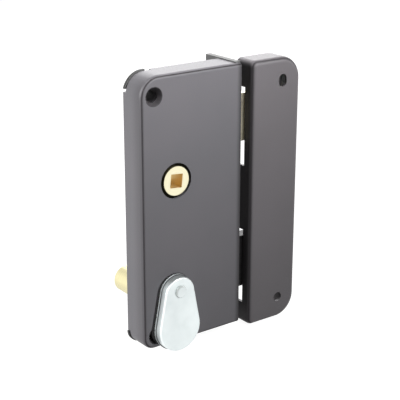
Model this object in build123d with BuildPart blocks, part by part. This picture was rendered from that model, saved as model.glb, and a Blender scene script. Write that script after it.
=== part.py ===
"""Vertical rim lock with a spindle follower, a latch, a deadbolt and its box keeper.

Millimetres. X runs from the closed side of the case to the keeper, Y runs back into the door and
Z runs up. The origin is on the spindle axis, in the plane of the case that lies on the door.
"""
import os
from math import cos, pi, radians, sin, sqrt

from build123d import *

os.makedirs("parts", exist_ok=True)

# Case, outside sizes
case_width = 60.0
case_height = 140.0
case_depth = 15.0
backset = 40.0
top_above_spindle = 53.5
sheet = 1.5
upper_corner = 10.5
lower_corner = 6.5
sheet_bend = 2.0
fixed_gap = 0.05

# Ears of the back plate in the notches of the shell's round corners
ear_width = 11.5
ear_far_gap = 3.5
ear_proud = 0.5
ear_notch_depth = 2.1
upper_ear_height = 7.6
upper_ear_gap = 1.6
lower_ear_height = 6.5
lower_ear_gap = 0.3

# Faceplate that closes the case and lies on the edge of the door
faceplate_thick = 3.0
faceplate_above_case = 0.6
faceplate_overhang = 10.5
faceplate_screw_spacing = 100.0
faceplate_screw_r = 2.25
faceplate_countersink_r = 4.3
faceplate_screw_y = 5.25
tenon_height = 8.0
tenon_inset = 7.0
tenon_step = 0.2

# Wood screws through the case into the door
case_screw_inset_x = 7.5
upper_screw_inset = 10.0
lower_screw_inset = 7.2
case_screw_r = 2.75
dimple_mouth_r = 4.7
dimple_throat_r = 3.2
dimple_depth = 3.0
dimple_land = 0.8
dimple_round = 0.6
sleeve_wall = 1.2
sleeve_spigot_r = 3.4

# Posts and machine screws that hold shell and back plate together
post_r = 3.5
post_inset_x = 10.0
post_inset_z = 7.8
post_leaf_gap = 0.3
post_screw_r = 1.6
post_screw_head_r = 3.0
post_screw_length = 8.0
post_screw_slot = 0.8

# Follower turned by the square spindle of the handle
spindle_square = 7.0
square_twist = 6.0
hub_front_r = 7.5
hub_hole_r = 9.0
hub_proud = 0.2
hub_collar_r = 10.5
hub_collar_thick = 2.0
hub_shoulder_r = 9.4
hub_body_r = 8.2
hub_flats = 14.0
rear_journal_r = 7.0
end_play = 0.2
finger_thick = 4.0
finger_ring_r = 10.8
finger_tip_r = 3.0
finger_neck = 3.6
finger_slack = 0.25
follower_half_turn = 20.0
running_gap = 0.05

# Latch and deadbolt, both cut from the same flat bar
bar_behind_gap = 0.5
bar_before_gap = 0.2
window_gap = 0.2
bar_edge_round = 0.5
latch_height = 25.0
latch_above_spindle = 23.7
latch_throw = 12.0
latch_nose = 1.6
latch_bevel = 8.7
latch_head_inside = 18.0
latch_tail_bottom = 15.0
latch_tail_top = 25.0
latch_tail_wall = 4.0
latch_tongue_thick = 3.0
latch_tongue_length = 12.0
latch_rivet_r = 1.2
latch_rivet_x = 31.0
latch_rivet_spacing = 5.0
bolt_height = 28.5
bolt_above_key = 11.9
bolt_throw = 14.0
bolt_head_inside = 5.5
bolt_tail_clear = 0.5
bolt_tail_wall = 8.0
crank_half_turn = 45.0

# Pins that guide the two bars, with heads that hold them down
guide_pin_r = 2.0
guide_head_r = 3.6
guide_head_thick = 1.0
guide_gap = 0.1
guide_head_gap = 0.3
guide_rivet_r = 1.5
latch_pin_x = 13.0
latch_pin_z = 21.2
bolt_pin_x = 18.0
bolt_pin_below_top = 7.5

# Coil spring that pushes the latch out, its anchor and its rod
spring_wire = 0.8
spring_coil_r = 2.4
spring_curls = 9
spring_z = 31.0
spring_rod_r = 1.6
spring_rod_length = 12.0
spring_rod_socket = 4.0
anchor_peg = 2.0
anchor_inset = 10.0
anchor_thick = 1.5
anchor_height = 8.0
anchor_reach = 8.0
anchor_foot = 6.0
anchor_foot_thick = 1.0
spring_rivet_r = 1.2
spring_rivet_head_r = 2.0
spring_rivet_head_thick = 0.7

# Leaf spring that holds the deadbolt where it is put
leaf_thick = 0.5
leaf_width = 6.0
leaf_foot_inset = 8.0
leaf_foot_width = 7.0
leaf_foot_height = 4.4
leaf_rise = 7.5
leaf_run = 17.0
leaf_toe = 3.5
leaf_toe_rise = 1.3
leaf_gap = 0.3
leaf_rivet_head_r = 1.6
leaf_rivet_spacing = 3.5

# Lock barrel and the plug that the key turns in it
key_above_bottom = 19.5
barrel_r = 7.25
barrel_length = 33.0
barrel_edge = 0.6
barrel_root_r = 7.0
barrel_root_length = 0.6
plug_r = 5.0
plug_recess = 0.6
plug_head_r = 5.7
plug_head_thick = 1.5
key_slot_width = 2.2
key_slot_height = 7.6
key_slot_depth = 12.0
flange_r = 11.0
flange_thick = 0.8
flange_flat = 5.0
flange_rivet_r = 1.1
flange_rivet_head_r = 1.8
flange_rivet_head_thick = 0.6
flange_rivet_pitch_r = 9.2
flange_rivet_deg = 28.0
bush_r = 7.4
bush_flange_r = 8.1
bush_flange_thick = 0.8

# Cam on the plug with the pin that drives the deadbolt
cam_thick = 3.0
cam_front_gap = 0.3
cam_hub_r = 7.6
cam_end_r = 3.5
cam_flat = 4.2
cam_pin_r = 2.0
cam_pin_neck_r = 1.5
cam_pin_slack = 0.12
cam_pin_lag = 0.3
cam_pin_top_gap = 0.4
cam_pin_short = 0.8
clip_thick = 0.5
clip_gap = 0.1
clip_r = 6.6
clip_groove_r = 4.6
clip_mouth = 5.0

# Pear-shaped cover that hangs on a rivet over the keyhole
cover_x = -1.2
cover_pivot_above_key = 10.5
cover_top_r = 8.75
cover_top_drop = 1.5
cover_bottom_r = 12.3
cover_bottom_drop = 20.3
cover_depth = 3.8
cover_sheet = 1.0
cover_round = 0.9
cover_gap = 0.2
cover_boss_r = 4.0
base_thick = 1.0
base_margin = 0.5
key_entry_r = 6.0
rivet_r = 1.9
rivet_head_r = 3.2
rivet_head_thick = 0.6
rivet_head_round = 0.42
rivet_head_gap = 0.1
rivet_tail_r = 2.35
rivet_tail_thick = 0.7

# Keeper on the door frame
keeper_gap = 7.0
keeper_width = 32.0
keeper_behind = 2.0
keeper_below_case = 4.5
keeper_below_top = 0.5
keeper_corner = 12.0
keeper_small_corner = 3.2
keeper_bend = 2.8
keeper_lip_gap = 0.6
keeper_window = 41.5
latch_window_above = 2.9
bolt_window_above = 3.5
keeper_screw_inset = 12.0
keeper_hole_r = 2.6
keeper_slot_length = 6.8
brace_thick = 1.2
brace_width = 17.0
brace_height = 21.0
brace_flange = 6.0
brace_rivet_r = 1.2
brace_rivet_head_r = 2.0
brace_rivet_head_thick = 0.7
brace_rivet_spacing = 6.0
brace_rivet_inset = 2.6
brace_rivet_depth = 3.6

# Places that follow from the sizes above
case_right = backset
case_left = backset - case_width
case_top = top_above_spindle
case_bottom = top_above_spindle - case_height
case_front = -case_depth
front_inside = case_front + sheet
plate_inside = -sheet
middle_z = (case_top + case_bottom) / 2
faceplate_left = case_right - faceplate_thick
faceplate_top = case_top + faceplate_above_case
upper_ear_bottom = case_top - upper_ear_height
lower_ear_top = case_bottom + lower_ear_height
ear_right = case_left + ear_width
key_z = case_bottom + key_above_bottom
bush_back = front_inside + bush_flange_thick
cam_front = bush_back + cam_front_gap
cam_back = cam_front + cam_thick
clip_front = cam_back + clip_gap
clip_back = clip_front + clip_thick
bar_back = plate_inside - bar_behind_gap
bar_front = clip_back + bar_before_gap
bar_thick = bar_back - bar_front
bar_middle = (bar_front + bar_back) / 2
latch_bottom = latch_above_spindle - latch_height / 2
latch_top = latch_bottom + latch_height
latch_head_left = case_right - latch_head_inside
latch_nose_x = case_right + latch_throw
latch_middle = (latch_tail_bottom + latch_tail_top) / 2
latch_rivet_levels = [latch_middle - latch_rivet_spacing / 2, latch_middle + latch_rivet_spacing / 2]
finger_r = latch_throw / 2 / sin(radians(follower_half_turn))
finger_x = latch_throw / 2
finger_notch_r = finger_tip_r + finger_slack
finger_top = finger_r + finger_notch_r
latch_tail_left = finger_x - finger_notch_r - latch_tail_wall
crank_r = bolt_throw / 2 / sin(radians(crank_half_turn))
bolt_bottom = key_z + bolt_above_key - bolt_height / 2
bolt_top = bolt_bottom + bolt_height
bolt_nose_x = case_right + bolt_throw
bolt_head_left = case_right - bolt_head_inside
bolt_tail_bottom = key_z + plug_r + bolt_tail_clear
bolt_pin_z = bolt_top - bolt_pin_below_top
cam_pin_rest_x = bolt_throw / 2
cam_pin_rest_z = key_z + cam_pin_rest_x
cam_slot_r = cam_pin_r + cam_pin_lag + cam_pin_slack
cam_slot_top = key_z + crank_r + cam_pin_r + cam_pin_top_gap
bolt_tail_left = cam_pin_rest_x - cam_slot_r - bolt_tail_wall
guide_slot_r = guide_pin_r + guide_gap
guide_points = [(latch_pin_x, latch_pin_z), (bolt_pin_x, bolt_pin_z)]
leaf_shelf = bolt_top + leaf_gap + leaf_rise
leaf_rivet_z = leaf_shelf + leaf_thick + (leaf_foot_height - leaf_thick) / 2
leaf_foot_x = case_left + leaf_foot_inset
leaf_rivet_levels = [leaf_foot_x - leaf_rivet_spacing / 2, leaf_foot_x + leaf_rivet_spacing / 2]
anchor_x = case_left + anchor_inset
anchor_rivet_x = anchor_x - anchor_foot / 2
screw_x = case_left + case_screw_inset_x
screw_points = [
    (screw_x, case_top - upper_screw_inset),
    (screw_x, case_bottom + lower_screw_inset),
]
post_points = [
    (case_right - post_inset_x, case_top - post_inset_z),
    (case_right - post_inset_x, case_bottom + post_inset_z),
    (screw_x, leaf_shelf + leaf_foot_height + post_leaf_gap + post_r),
]
tenon_levels = [case_top - tenon_inset, middle_z, case_bottom + tenon_inset]
barrel_back = barrel_length
plug_back = barrel_back - plug_recess
plug_front = case_front + end_play
flange_rivet_z = key_z - flange_rivet_pitch_r * sin(radians(flange_rivet_deg))
flange_rivet_levels = [
    side * flange_rivet_pitch_r * cos(radians(flange_rivet_deg)) for side in (-1, 1)
]
cover_pivot_z = key_z + cover_pivot_above_key
base_front = case_front - base_thick
cover_back = base_front - cover_gap
cover_front = cover_back - cover_depth
cover_inside = cover_front + cover_sheet
keeper_left = case_right + keeper_gap
keeper_right = keeper_left + keeper_width
keeper_bottom = case_bottom - keeper_below_case
keeper_top = case_top - keeper_below_top
keeper_front = case_front
keeper_back = -keeper_behind
keeper_depth = keeper_back - keeper_front
keeper_lip_back = bar_front - keeper_lip_gap
keeper_screw_x = keeper_right - keeper_screw_inset
keeper_slot_z = keeper_top - keeper_screw_inset
keeper_hole_z = keeper_bottom + keeper_screw_inset
keeper_window_tops = [latch_top + latch_window_above, bolt_top + bolt_window_above]
brace_left = keeper_screw_x - brace_width / 2
brace_bottom = keeper_slot_z - brace_height / 2
brace_rivet_y = keeper_back - brace_rivet_depth
brace_rivet_low = brace_bottom + brace_rivet_inset
brace_rivet_levels = [brace_rivet_low, brace_rivet_low + brace_rivet_spacing]


def at_depth(y):
    """Plane seen from the room at depth y, with X to its right and Z up."""
    return Plane.XZ.offset(-y)


def plate(left, right, bottom, top, left_corner=0.0, right_corner=0.0, mode=Mode.ADD):
    """Upright rectangle, whose left and right corners may be round."""
    with BuildSketch(Plane.XY) as outline:
        with Locations(((left + right) / 2, (bottom + top) / 2)):
            Rectangle(right - left, top - bottom)
        if left_corner > 0:
            fillet(outline.vertices().group_by(Axis.X)[0], left_corner)
        if right_corner > 0:
            fillet(outline.vertices().group_by(Axis.X)[-1], right_corner)
    add(outline.sketch, mode=mode)


def turned(profile, x=0.0, z=0.0, mode=Mode.ADD):
    """Body of revolution about the line along Y through (x, z), from (radius, y) points."""
    with BuildSketch(Plane(origin=(x, 0, z))) as outline:
        with BuildLine():
            Polyline(*profile, close=True)
        make_face()
    revolve(outline.sketch, axis=Axis((x, 0, z), (0, 1, 0)), mode=mode)


def disc(x, z, radius, y_front, y_back, mode=Mode.ADD):
    """Round bar or round hole along Y."""
    turned([(0, y_front), (radius, y_front), (radius, y_back), (0, y_back)], x, z, mode)


def case_outline(inset, right, mode=Mode.ADD):
    """Outline of the case with its round left corners, smaller by the inset but for its right side."""
    with BuildSketch(Plane.XY) as outline:
        with Locations(((case_left + inset + right) / 2, middle_z)):
            Rectangle(right - case_left - inset, case_height - 2 * inset)
        fillet(outline.vertices().group_by(Axis.X)[0].sort_by(Axis.Y)[0], lower_corner - inset)
        fillet(outline.vertices().group_by(Axis.X)[0].sort_by(Axis.Y)[-1], upper_corner - inset)
    add(outline.sketch, mode=mode)


def drawn_hole(x, z):
    """Screw hole drawn into the front of the case as a funnel, on the open part."""
    back = case_front + dimple_depth
    land_front = back - dimple_land
    slope = (dimple_mouth_r - dimple_throat_r) / (dimple_depth - dimple_land)
    turned(
        [
            (dimple_throat_r, back),
            (dimple_throat_r + sleeve_wall, back),
            (dimple_throat_r + sleeve_wall, land_front),
            (dimple_mouth_r + sleeve_wall - slope * sheet, front_inside),
            (dimple_throat_r, front_inside),
        ],
        x,
        z,
    )
    turned(
        [
            (0, case_front),
            (dimple_mouth_r, case_front),
            (dimple_throat_r, land_front),
            (dimple_throat_r, back),
            (0, back),
        ],
        x,
        z,
        Mode.SUBTRACT,
    )


def keeper_slot(y, thick):
    """Upright screw slot of the keeper through a sheet whose back is at depth y, on the open part."""
    with BuildSketch(at_depth(y)) as outline:
        with Locations((keeper_screw_x, keeper_slot_z)):
            SlotOverall(keeper_slot_length, 2 * keeper_hole_r, rotation=90)
    extrude(outline.sketch, amount=thick, mode=Mode.SUBTRACT)


def pear(y, margin=0.0):
    """Outline of the keyhole cover at depth y, made larger by the margin."""
    with BuildSketch(at_depth(y)) as outline:
        with Locations((cover_x, cover_pivot_z - cover_top_drop)):
            Circle(cover_top_r + margin)
        with Locations((cover_x, cover_pivot_z - cover_bottom_drop)):
            Circle(cover_bottom_r + margin)
        make_hull()
    return outline.sketch


def riveted(x, z, shank_r, head_r, head_thick, y_head, y_end):
    """Rivet along Y with its head towards the room."""
    turned(
        [
            (0, y_head),
            (head_r, y_head),
            (head_r, y_head + head_thick),
            (shank_r, y_head + head_thick),
            (shank_r, y_end),
            (0, y_end),
        ],
        x,
        z,
    )


def finish(piece, label):
    """Name a piece and write it to its own file."""
    piece.part.label = label
    export_step(piece.part, f"parts/{label}.step")


# Case shell: a pressed steel tray, open towards the door and along its faceplate side
with BuildPart() as case_shell:
    with BuildSketch(at_depth(0)):
        case_outline(0, case_right)
    extrude(amount=case_depth)
    fillet(faces().sort_by(Axis.Y)[0].edges().sort_by(Axis.X)[:-1], sheet_bend)
    with BuildSketch(at_depth(0)):
        case_outline(sheet, case_right)
        plate(faceplate_left, case_right, case_bottom, case_top)
    extrude(amount=case_depth - sheet, mode=Mode.SUBTRACT)
    with BuildSketch(at_depth(0)):
        plate(case_left, ear_right + ear_far_gap, upper_ear_bottom - upper_ear_gap, case_top)
        plate(case_left, ear_right + ear_far_gap, case_bottom, lower_ear_top + lower_ear_gap)
    extrude(amount=ear_notch_depth, mode=Mode.SUBTRACT)
    for x, z in screw_points:
        drawn_hole(x, z)
    circles = edges().filter_by(GeomType.CIRCLE)
    front_circles = circles.filter_by_position(Axis.Y, case_front - fixed_gap, case_front + fixed_gap)
    fillet([edge for edge in front_circles if abs(edge.radius - dimple_mouth_r) < fixed_gap], dimple_round)
    disc(0, 0, hub_hole_r, case_front, front_inside, Mode.SUBTRACT)
    disc(0, key_z, bush_r + fixed_gap, case_front, front_inside, Mode.SUBTRACT)
    disc(cover_x, cover_pivot_z, rivet_r + fixed_gap, case_front, front_inside, Mode.SUBTRACT)
finish(case_shell, "case_shell")

# Back plate: steel sheet inside the skirt, with ears at its corners and tenons in the faceplate
with BuildPart() as back_plate:
    with BuildSketch(at_depth(0)):
        case_outline(sheet + fixed_gap, faceplate_left)
    extrude(amount=sheet)
    with BuildSketch(at_depth(-tenon_step)):
        for level in tenon_levels:
            plate(faceplate_left, case_right, level - tenon_height / 2, level + tenon_height / 2)
    extrude(amount=sheet - tenon_step)
    with BuildSketch(at_depth(0)):
        case_outline(-ear_proud, case_right)
        with BuildSketch(Plane.XY, mode=Mode.PRIVATE) as ears:
            plate(case_left - ear_proud, ear_right, upper_ear_bottom, case_top + ear_proud)
            plate(case_left - ear_proud, ear_right, case_bottom - ear_proud, lower_ear_top)
        add(ears.sketch, mode=Mode.INTERSECT)
    extrude(amount=sheet)
    disc(0, 0, rear_journal_r + running_gap, plate_inside, 0, Mode.SUBTRACT)
    disc(0, key_z, barrel_r + fixed_gap, plate_inside, 0, Mode.SUBTRACT)
    for x, z in screw_points:
        disc(x, z, sleeve_spigot_r + fixed_gap, plate_inside, 0, Mode.SUBTRACT)
    for x, z in post_points:
        disc(x, z, post_screw_r + fixed_gap, plate_inside, 0, Mode.SUBTRACT)
        turned(
            [(0, 0), (post_screw_head_r + fixed_gap, 0), (0, -post_screw_head_r - fixed_gap)],
            x,
            z,
            Mode.SUBTRACT,
        )
    for x, z in guide_points:
        disc(x, z, guide_rivet_r + fixed_gap, plate_inside, 0, Mode.SUBTRACT)
    for x in flange_rivet_levels:
        disc(x, flange_rivet_z, flange_rivet_r + fixed_gap, plate_inside, 0, Mode.SUBTRACT)
    disc(anchor_rivet_x, spring_z, spring_rivet_r + fixed_gap, plate_inside, 0, Mode.SUBTRACT)
    for x in leaf_rivet_levels:
        disc(x, leaf_rivet_z, spring_rivet_r + fixed_gap, plate_inside, 0, Mode.SUBTRACT)
finish(back_plate, "back_plate")

# Faceplate: flat steel bar with the windows of the latch and the deadbolt
with BuildPart() as faceplate:
    with BuildSketch(at_depth(faceplate_overhang)):
        plate(faceplate_left, case_right, case_bottom, faceplate_top)
    extrude(amount=faceplate_overhang - front_inside)
    with BuildSketch(at_depth(bar_back + window_gap)):
        plate(faceplate_left, case_right, latch_bottom - window_gap, latch_top + window_gap)
        plate(faceplate_left, case_right, bolt_bottom - window_gap, bolt_top + window_gap)
    extrude(amount=bar_thick + 2 * window_gap, mode=Mode.SUBTRACT)
    with BuildSketch(at_depth(fixed_gap - tenon_step)):
        for level in tenon_levels:
            plate(
                faceplate_left,
                case_right,
                level - tenon_height / 2 - fixed_gap,
                level + tenon_height / 2 + fixed_gap,
            )
    extrude(amount=sheet - tenon_step + 2 * fixed_gap, mode=Mode.SUBTRACT)
    for side in (1, -1):
        hole_z = middle_z + side * faceplate_screw_spacing / 2
        hole_face = Plane(origin=(case_right, faceplate_screw_y, hole_z), z_dir=(1, 0, 0))
        with BuildSketch(hole_face):
            Circle(faceplate_screw_r)
        extrude(amount=-faceplate_thick, mode=Mode.SUBTRACT)
        with BuildSketch(hole_face):
            Circle(faceplate_countersink_r)
        extrude(amount=faceplate_screw_r - faceplate_countersink_r, taper=45, mode=Mode.SUBTRACT)
finish(faceplate, "faceplate")

# Sleeves that carry the wood screws from the drawn holes to the back plate
for number, (x, z) in enumerate(screw_points, 1):
    with BuildPart() as screw_sleeve:
        turned(
            [
                (case_screw_r, case_front + dimple_depth),
                (case_screw_r + sleeve_wall, case_front + dimple_depth),
                (case_screw_r + sleeve_wall, plate_inside),
                (sleeve_spigot_r, plate_inside),
                (sleeve_spigot_r, 0),
                (case_screw_r, 0),
            ],
            x,
            z,
        )
    finish(screw_sleeve, f"screw_sleeve_{number}")

# Posts between shell and back plate, and the machine screws that come into them from behind
for number, (x, z) in enumerate(post_points, 1):
    with BuildPart() as case_post:
        disc(x, z, post_r, front_inside, plate_inside)
        disc(x, z, post_screw_r + fixed_gap, -post_screw_length - fixed_gap, plate_inside, Mode.SUBTRACT)
        turned(
            [(0, 0), (post_screw_head_r + fixed_gap, 0), (0, -post_screw_head_r - fixed_gap)],
            x,
            z,
            Mode.SUBTRACT,
        )
    finish(case_post, f"case_post_{number}")
    with BuildPart() as case_screw:
        turned(
            [
                (0, 0),
                (post_screw_head_r, 0),
                (post_screw_r, post_screw_r - post_screw_head_r),
                (post_screw_r, -post_screw_length),
                (0, -post_screw_length),
            ],
            x,
            z,
        )
        with BuildSketch(at_depth(0)):
            plate(
                x - post_screw_head_r,
                x + post_screw_head_r,
                z - post_screw_slot / 2,
                z + post_screw_slot / 2,
            )
        extrude(amount=post_screw_slot, mode=Mode.SUBTRACT)
    finish(case_screw, f"case_screw_{number}")

# Guide pins, riveted into the back plate
for name, (x, z) in zip(("latch_guide_pin", "bolt_guide_pin"), guide_points):
    with BuildPart() as guide_pin:
        head_back = bar_front - guide_head_gap
        turned(
            [
                (0, head_back - guide_head_thick),
                (guide_head_r, head_back - guide_head_thick),
                (guide_head_r, head_back),
                (guide_pin_r, head_back),
                (guide_pin_r, plate_inside),
                (guide_rivet_r, plate_inside),
                (guide_rivet_r, 0),
                (0, 0),
            ],
            x,
            z,
        )
    finish(guide_pin, name)

# Anchor of the latch spring: a bent strip on the back plate, with a peg in the end of the coil
with BuildPart() as spring_anchor:
    with BuildSketch(at_depth(plate_inside)):
        plate(
            anchor_x, anchor_x + anchor_thick, spring_z - anchor_height / 2, spring_z + anchor_height / 2
        )
    extrude(amount=anchor_reach)
    with BuildSketch(at_depth(plate_inside)):
        plate(
            anchor_x - anchor_foot, anchor_x, spring_z - anchor_height / 2, spring_z + anchor_height / 2
        )
        with Locations((anchor_rivet_x, spring_z)):
            Circle(spring_rivet_r + fixed_gap, mode=Mode.SUBTRACT)
    extrude(amount=anchor_foot_thick)
    with BuildSketch(Plane(origin=(anchor_x + anchor_thick, bar_middle, spring_z), z_dir=(1, 0, 0))):
        Circle(spring_rod_r)
    extrude(amount=anchor_peg)
finish(spring_anchor, "spring_anchor")

with BuildPart() as anchor_rivet:
    riveted(
        anchor_rivet_x,
        spring_z,
        spring_rivet_r,
        spring_rivet_head_r,
        spring_rivet_head_thick,
        plate_inside - anchor_foot_thick - spring_rivet_head_thick,
        0,
    )
finish(anchor_rivet, "anchor_rivet")

# Latch spring: one round wire, its coil laid through arcs that meet with a common tangent
spring_left = anchor_x + anchor_thick + spring_wire / 2
spring_right = latch_head_left - spring_wire / 2
spring_pitch = (spring_right - spring_left) / spring_curls
steps_per_curl = 2
spring_points = []
spring_tangents = []
for step in range(spring_curls * steps_per_curl + 1):
    angle = 2 * pi * step / steps_per_curl
    spring_points.append(
        Vector(
            spring_left + spring_pitch * step / steps_per_curl,
            bar_middle + spring_coil_r * cos(angle),
            spring_z + spring_coil_r * sin(angle),
        )
    )
    spring_tangents.append(
        Vector(
            spring_pitch / (2 * pi), -spring_coil_r * sin(angle), spring_coil_r * cos(angle)
        ).normalized()
    )
with BuildPart() as latch_spring:
    with BuildLine() as spring_path:
        for start, end, leave, arrive in zip(
            spring_points, spring_points[1:], spring_tangents, spring_tangents[1:]
        ):
            chord = end - start
            spread = chord.dot(leave + arrive)
            bend = 2 * (leave.dot(arrive) - 1)
            reach = (spread - sqrt(spread**2 - bend * chord.dot(chord))) / bend
            joint = (start + leave * reach + end - arrive * reach) * 0.5
            middle = (end - arrive * reach - start - leave * reach).normalized()
            TangentArc(start, joint, tangent=leave)
            TangentArc(joint, end, tangent=middle)
    with BuildSketch(Plane(origin=spring_points[0], z_dir=spring_tangents[0])):
        Circle(spring_wire / 2)
    sweep(path=spring_path.wire())
finish(latch_spring, "latch_spring")
spring_self_gap = spring_pitch * spring_tangents[0].cross(Vector(1, 0, 0)).length - spring_wire
print(f"latch_spring least self gap {spring_self_gap:.2f} mm")

# Leaf spring over the deadbolt's tail: a foot on the back plate and a blade that runs down to a toe
leaf_foot_left = leaf_foot_x - leaf_foot_width / 2
leaf_foot_right = leaf_foot_x + leaf_foot_width / 2
leaf_bend_x = leaf_foot_right + leaf_run
leaf_bend_z = leaf_shelf - leaf_rise
with BuildPart() as bolt_leaf_spring:
    with BuildSketch(at_depth(plate_inside)):
        plate(leaf_foot_left, leaf_foot_right, leaf_shelf, leaf_shelf + leaf_foot_height)
        for x in leaf_rivet_levels:
            with Locations((x, leaf_rivet_z)):
                Circle(spring_rivet_r + fixed_gap, mode=Mode.SUBTRACT)
    extrude(amount=leaf_thick)
    with BuildSketch(at_depth(plate_inside)):
        with BuildLine():
            Polyline(
                (leaf_foot_left, leaf_shelf),
                (leaf_foot_right, leaf_shelf),
                (leaf_bend_x, leaf_bend_z),
                (leaf_bend_x + leaf_toe, leaf_bend_z + leaf_toe_rise),
                (leaf_bend_x + leaf_toe, leaf_bend_z + leaf_toe_rise + leaf_thick),
                (leaf_bend_x, leaf_bend_z + leaf_thick),
                (leaf_foot_right, leaf_shelf + leaf_thick),
                (leaf_foot_left, leaf_shelf + leaf_thick),
                close=True,
            )
        make_face()
    extrude(amount=leaf_width)
finish(bolt_leaf_spring, "bolt_leaf_spring")

for number, x in enumerate(leaf_rivet_levels, 1):
    with BuildPart() as leaf_rivet:
        riveted(
            x,
            leaf_rivet_z,
            spring_rivet_r,
            leaf_rivet_head_r,
            spring_rivet_head_thick,
            plate_inside - leaf_thick - spring_rivet_head_thick,
            0,
        )
    finish(leaf_rivet, f"leaf_rivet_{number}")

# Lock barrel through the door, with a flange inside the case that is flat under the deadbolt's tail
with BuildPart() as barrel_tube:
    disc(0, key_z, flange_r, plate_inside - flange_thick, plate_inside)
    with BuildSketch(at_depth(plate_inside)):
        plate(-flange_r, flange_r, key_z + flange_flat, key_z + flange_r)
    extrude(amount=flange_thick, mode=Mode.SUBTRACT)
    disc(0, key_z, barrel_root_r, plate_inside, barrel_root_length)
    disc(0, key_z, barrel_r, barrel_root_length, barrel_back)
    chamfer(edges().filter_by(GeomType.CIRCLE).sort_by(Axis.Y)[-1], barrel_edge)
    disc(0, key_z, plug_r + running_gap, plate_inside - flange_thick, barrel_back, Mode.SUBTRACT)
    disc(
        0,
        key_z,
        plug_head_r + running_gap,
        plug_back - plug_head_thick - running_gap,
        barrel_back,
        Mode.SUBTRACT,
    )
    for x in flange_rivet_levels:
        disc(
            x,
            flange_rivet_z,
            flange_rivet_r + fixed_gap,
            plate_inside - flange_thick,
            plate_inside,
            Mode.SUBTRACT,
        )
finish(barrel_tube, "barrel_tube")

for number, x in enumerate(flange_rivet_levels, 1):
    with BuildPart() as barrel_rivet:
        riveted(
            x,
            flange_rivet_z,
            flange_rivet_r,
            flange_rivet_head_r,
            flange_rivet_head_thick,
            plate_inside - flange_thick - flange_rivet_head_thick,
            0,
        )
    finish(barrel_rivet, f"barrel_rivet_{number}")

# Brass bush that carries the front end of the plug in the shell
with BuildPart() as front_bush:
    turned(
        [
            (plug_r + running_gap, case_front),
            (bush_r, case_front),
            (bush_r, front_inside),
            (bush_flange_r, front_inside),
            (bush_flange_r, bush_back),
            (plug_r + running_gap, bush_back),
        ],
        0,
        key_z,
    )
finish(front_bush, "front_bush")

# Flat base under the keyhole cover, open where the key goes in
with BuildPart() as cover_base:
    extrude(pear(case_front, base_margin), amount=base_thick)
    disc(0, key_z, key_entry_r, base_front, case_front, Mode.SUBTRACT)
    disc(cover_x, cover_pivot_z, rivet_r + fixed_gap, base_front, case_front, Mode.SUBTRACT)
finish(cover_base, "cover_base")

# Rivet that the cover swings on
with BuildPart() as cover_rivet:
    rivet_head_back = cover_front - rivet_head_gap
    turned(
        [
            (0, rivet_head_back - rivet_head_thick),
            (rivet_head_r, rivet_head_back - rivet_head_thick),
            (rivet_head_r, rivet_head_back),
            (rivet_r, rivet_head_back),
            (rivet_r, front_inside),
            (rivet_tail_r, front_inside),
            (rivet_tail_r, front_inside + rivet_tail_thick),
            (0, front_inside + rivet_tail_thick),
        ],
        cover_x,
        cover_pivot_z,
    )
    fillet(edges().filter_by(GeomType.CIRCLE).sort_by(Axis.Y)[0], rivet_head_round)
finish(cover_rivet, "cover_rivet")

# Follower hub with the square hole for the spindle
collar_front = front_inside + end_play
collar_back = collar_front + hub_collar_thick
arm_front = bar_middle - finger_thick / 2
arm_back = bar_middle + finger_thick / 2
journal_front = plate_inside - end_play
with BuildPart() as follower_hub:
    turned(
        [
            (0, case_front - hub_proud),
            (hub_front_r, case_front - hub_proud),
            (hub_front_r, collar_front),
            (hub_collar_r, collar_front),
            (hub_collar_r, collar_back),
            (hub_shoulder_r, collar_back),
            (hub_shoulder_r, arm_front),
            (hub_body_r, arm_front),
            (hub_body_r, journal_front),
            (rear_journal_r, journal_front),
            (rear_journal_r, 0),
            (0, 0),
        ]
    )
    with BuildSketch(at_depth(journal_front)):
        plate(-hub_body_r, -hub_flats / 2, -hub_body_r, hub_body_r)
        plate(hub_flats / 2, hub_body_r, -hub_body_r, hub_body_r)
    extrude(amount=journal_front - arm_front, mode=Mode.SUBTRACT)
    with BuildSketch(at_depth(0)):
        Rectangle(spindle_square, spindle_square, rotation=-square_twist)
    extrude(amount=case_depth + hub_proud, mode=Mode.SUBTRACT)
finish(follower_hub, "follower_hub")

# Arm on the hub, whose finger reaches into the notch of the latch tail
with BuildPart() as follower_arm:
    with BuildSketch(at_depth(arm_back)):
        Circle(finger_ring_r)
        tip_x = finger_r * sin(radians(follower_half_turn))
        tip_z = finger_r * cos(radians(follower_half_turn))
        with Locations((tip_x, tip_z)):
            Circle(finger_tip_r)
        with Locations(Location((tip_x / 2, tip_z / 2), -follower_half_turn)):
            Rectangle(finger_neck, finger_r)
        with BuildSketch(Plane.XY, mode=Mode.PRIVATE) as bore:
            Circle(hub_body_r + fixed_gap)
            Rectangle(hub_flats + 2 * fixed_gap, 3 * hub_body_r, mode=Mode.INTERSECT)
        add(bore.sketch, mode=Mode.SUBTRACT)
    extrude(amount=finger_thick)
finish(follower_arm, "follower_arm")

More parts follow.
